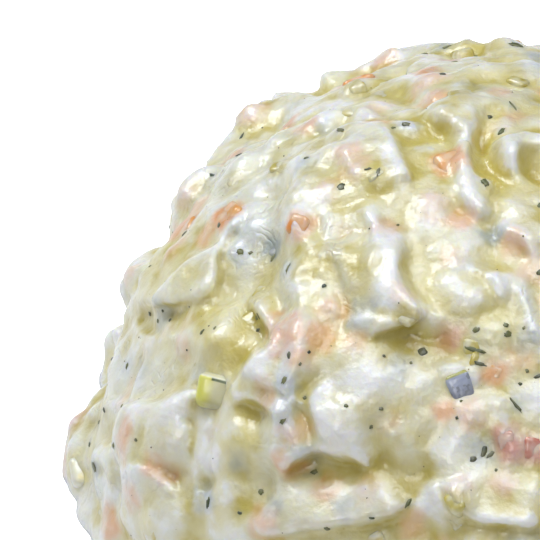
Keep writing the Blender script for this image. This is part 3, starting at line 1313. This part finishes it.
# Scale of the clouds, the span that counts of them, and what they add at its two ends
TONE_CLOUDS = (160, 0.3, 0.75, 0.0, 0.6)
DAB_CLOUDS = (330, 0.45, 0.7, 0.0, 1.0)
CREST_CLOUDS = (700, 0.35, 0.65, 0.2, -0.2)
WORN_CLOUDS = (420, 0.3, 0.6, 0.45, 1.0)


def add_bump(tree, shader, strength, wrinkles, grain):
    relief = place_group(tree, wave, Wrinkles=wrinkles, Grain=grain)
    height = relief.outputs["Height"]
    bump = add_node(tree, "ShaderNodeBump", Height=height, Strength=strength, Distance=BUMP_DEPTH)
    tree.links.new(bump.outputs["Normal"], shader.inputs["Normal"])


cream_look, tree, shader = new_look("cream", 0.36, 0.65, 0.6, 1.0 * MM, 0.11)
measures = [attribute(tree, name) for name in ("hollow", "crease", "tint")]
tone = weighted(tree, *zip(measures, TONE_WEIGHTS), (clouded(tree, *TONE_CLOUDS), 1.0))
dabbed = weighted(tree, (tone, 1.0), (clouded(tree, *DAB_CLOUDS), DAB_WEIGHT))
crests = weighted(tree, *zip(measures, CREST_WEIGHTS), (clouded(tree, *CREST_CLOUDS), 1.0))
base = mix(tree, ramp(tree, tone, *WARM_SPAN), PALE, WARM)
base = mix(tree, ramp(tree, dabbed, *OLIVE_SPAN), base, OLIVE)
base = mix(tree, ramp(tree, tone, *GOLD_SPAN), base, GOLD)
base = mix(tree, ramp(tree, crests, *WHITE_SPAN, 1.0, 0.0), base, WHITE)
base = mix(tree, maths(tree, "MULTIPLY", attribute(tree, "wet"), WET_SHARE), base, WET_GREY)
worn = clouded(tree, *WORN_CLOUDS)
worn = maths(tree, "MULTIPLY", attribute(tree, "stain_share"), worn)
base = mix(tree, worn, base, attribute(tree, "stain", "Color"))
tree.links.new(base, shader.inputs["Base Color"])
add_bump(tree, shader, 0.9, attribute(tree, "wet"), 0.5)
cream.data.materials.append(cream_look)
print("nodes of the cream:", len(tree.nodes))

# %% Vegetable materials
# Colour in the depth, colour at the edges, and how much of it the film covers
VEGETABLES = {
    "carrot": ((0.80, 0.28, 0.04), (0.84, 0.42, 0.12), 0.4),
    "pickle": ((0.50, 0.40, 0.05), (0.64, 0.56, 0.14), 0.6),
    "pepper": ((0.52, 0.10, 0.07), (0.70, 0.28, 0.20), 0.5),
    "root": ((0.74, 0.62, 0.22), (0.84, 0.78, 0.44), 0.9),
    "dark": ((0.10, 0.14, 0.20), (0.24, 0.32, 0.36), 0.5),
}


def finish_look(piece, look, colour, film_colour, cover, strength, grain):
    """Lays patches of film over this colour, adds the relief, and gives the material to its piece."""
    tree = look.node_tree
    shader = tree.nodes["Principled BSDF"]
    covered = place_group(tree, film, Colour=colour, Film=film_colour, Cover=cover)
    tree.links.new(covered.outputs["Colour"], shader.inputs["Base Color"])
    add_bump(tree, shader, strength, 0.0, grain)
    piece.data.materials.append(look)


for kind, (deep, pale, cover) in VEGETABLES.items():
    look, tree, shader = new_look(kind, 0.28, 0.6, 0.4, 0.6 * MM)
    share = weighted(tree, (attribute(tree, "number"), 0.6), (cloud(tree, 900), 1.0))
    flesh = mix(tree, ramp(tree, share, 0.4, 1.1), deep, pale)
    finish_look(pieces[kind], look, flesh, PALE, cover, 0.4, 0.4)
print("vegetable materials:", len(VEGETABLES))

# %% Courgette and dark skin
FLESH_BRIGHT = (0.78, 0.77, 0.05)
FLESH_DULL = (0.60, 0.57, 0.30)
FLESH_LOW = (0.40, 0.37, 0.20)
SKIN_GREEN = (0.05, 0.09, 0.0)
RIND_PALE = (0.66, 0.65, 0.42)
look, tree, shader = new_look("courgette", 0.32, 0.5, 0.5, 0.8 * MM)
end, side = attribute(tree, "end"), attribute(tree, "skin")
flesh = mix(tree, ramp(tree, end, -0.75, -0.1), FLESH_BRIGHT, FLESH_DULL)
flesh = mix(tree, ramp(tree, side, -0.9, -0.3, 0.5, 0.0), flesh, FLESH_LOW)
rind = maths(tree, "MULTIPLY", ramp(tree, side, 0.52, 0.58), ramp(tree, end, -0.5, -0.4))
skin = mix(tree, rind, flesh, SKIN_GREEN)
skin = mix(tree, ramp(tree, side, 0.66, 0.74), skin, RIND_PALE)
finish_look(courgette, look, skin, PALE, 0.2, 0.3, 0.3)

CHIP_PALE = (0.38, 0.43, 0.58)
CHIP_DARK = (0.11, 0.12, 0.17)
CHIP_SPOTS = (0.08, 0.09, 0.10)
CHIP_END = (0.38, 0.38, 0.02)
look, tree, shader = new_look("dark_skin", 0.30, 0.5, 0.3, 0.4 * MM)
end = attribute(tree, "end")
spots = ramp(tree, cloud(tree, 1500), 0.58, 0.66)
flesh = mix(tree, ramp(tree, end, -0.6, 0.8), CHIP_PALE, CHIP_DARK)
flesh = mix(tree, maths(tree, "MULTIPLY", spots, 0.5), flesh, CHIP_SPOTS)
skin = mix(tree, ramp(tree, end, -0.80, -0.72, 1.0, 0.0), flesh, CHIP_END)
finish_look(chip, look, skin, PALE, 0.12, 0.4, 0.5)
print("materials laid by eye:", courgette.name, chip.name)

# %% Herb and pepper materials
LEAF_DARK = (0.015, 0.035, 0.015)
LEAF_LIGHT = (0.09, 0.11, 0.015)
look, tree, shader = new_look("herb", 0.45, 0.25, 0.1, 0.3 * MM)
leaf = mix(tree, ramp(tree, attribute(tree, "number"), 0.2, 0.9), LEAF_DARK, LEAF_LIGHT)
finish_look(herbs, look, leaf, WARM, 0.2, 0.5, 0.6)

GRAIN_DARK = (0.08, 0.07, 0.05)
GRAIN_LIGHT = (0.34, 0.28, 0.12)
look, tree, shader = new_look("ground_pepper", 0.5, 0.3, 0.0, 0.1 * MM)
grain = mix(tree, attribute(tree, "number"), GRAIN_DARK, GRAIN_LIGHT)
tree.links.new(grain, shader.inputs["Base Color"])
add_bump(tree, shader, 0.5, 0.0, 0.6)
specks.data.materials.append(look)
print("materials in all:", len(bpy.data.materials))

# %% [markdown]
# ## Floor and light
#
# The photograph has a plain white ground and soft light from above, strongest from behind on the left:
# ledges are bright on top and olive underneath. A world that is bright overhead and dim at the sides
# gives the soft part, and three softboxes give the broad white gloss.

# %% Floor and lights
FLOOR_SIZE = 3
WORLD_SPAN = (0.15, 0.9)
WORLD_STRENGTH = (0.08, 0.52)
bpy.ops.object.select_all(action="DESELECT")
bpy.ops.mesh.primitive_plane_add(size=FLOOR_SIZE)
floor = bpy.context.object
floor.name = "floor"
floor_look = bpy.data.materials.new("floor")
floor_look.use_nodes = True
tree = floor_look.node_tree
shader = tree.nodes["Principled BSDF"]
shader.inputs["Base Color"].default_value = (0.9, 0.9, 0.9, 1)
shader.inputs["Roughness"].default_value = 0.6
shader.inputs["Emission Color"].default_value = (1, 1, 1, 1)
seen_straight = tree.nodes.new("ShaderNodeLightPath").outputs["Is Camera Ray"]
tree.links.new(seen_straight, shader.inputs["Emission Strength"])
floor.data.materials.append(floor_look)

world = bpy.data.worlds.new("studio")
world.use_nodes = True
tree = world.node_tree
sky_direction = tree.nodes.new("ShaderNodeTexCoord").outputs["Generated"]
split = add_node(tree, "ShaderNodeSeparateXYZ", Vector=sky_direction)
strength = ramp(tree, split.outputs["Z"], *WORLD_SPAN, *WORLD_STRENGTH)
tree.links.new(strength, tree.nodes["Background"].inputs["Strength"])
tree.nodes["Background"].inputs["Color"].default_value = (1, 1, 1, 1)
bpy.context.scene.world = world

# Each lamp's place in metres, side in metres, power in watts, and colour
SOFTBOXES = {
    "back left": ((-0.30, 0.26, 0.42), 0.22, 1.05, (0.90, 0.95, 1)),
    "overhead": ((0.04, 0.05, 0.60), 0.34, 1.2, (0.92, 0.96, 1)),
    "front": ((-0.16, -0.42, 0.42), 0.18, 0.42, (1, 0.99, 0.96)),
}
for name, (place, side, power, colour) in SOFTBOXES.items():
    bpy.ops.object.light_add(type="AREA", location=place)
    lamp = bpy.context.object
    lamp.name = name
    lamp.rotation_euler = (-Vector(place)).to_track_quat("-Z", "Y").to_euler()
    lamp.data.size = side
    lamp.data.energy = power
    lamp.data.color = colour
bpy.context.scene.view_settings.view_transform = "Standard"
print("lights:", len(SOFTBOXES))

# %% Finish
made = [cream, herbs, specks, courgette, chip, *pieces.values()]
for obj in made:
    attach(obj, "root")
    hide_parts("spread_heap")
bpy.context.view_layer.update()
print("pieces:", len(made), "triangles:", sum(triangle_count(obj) for obj in made))
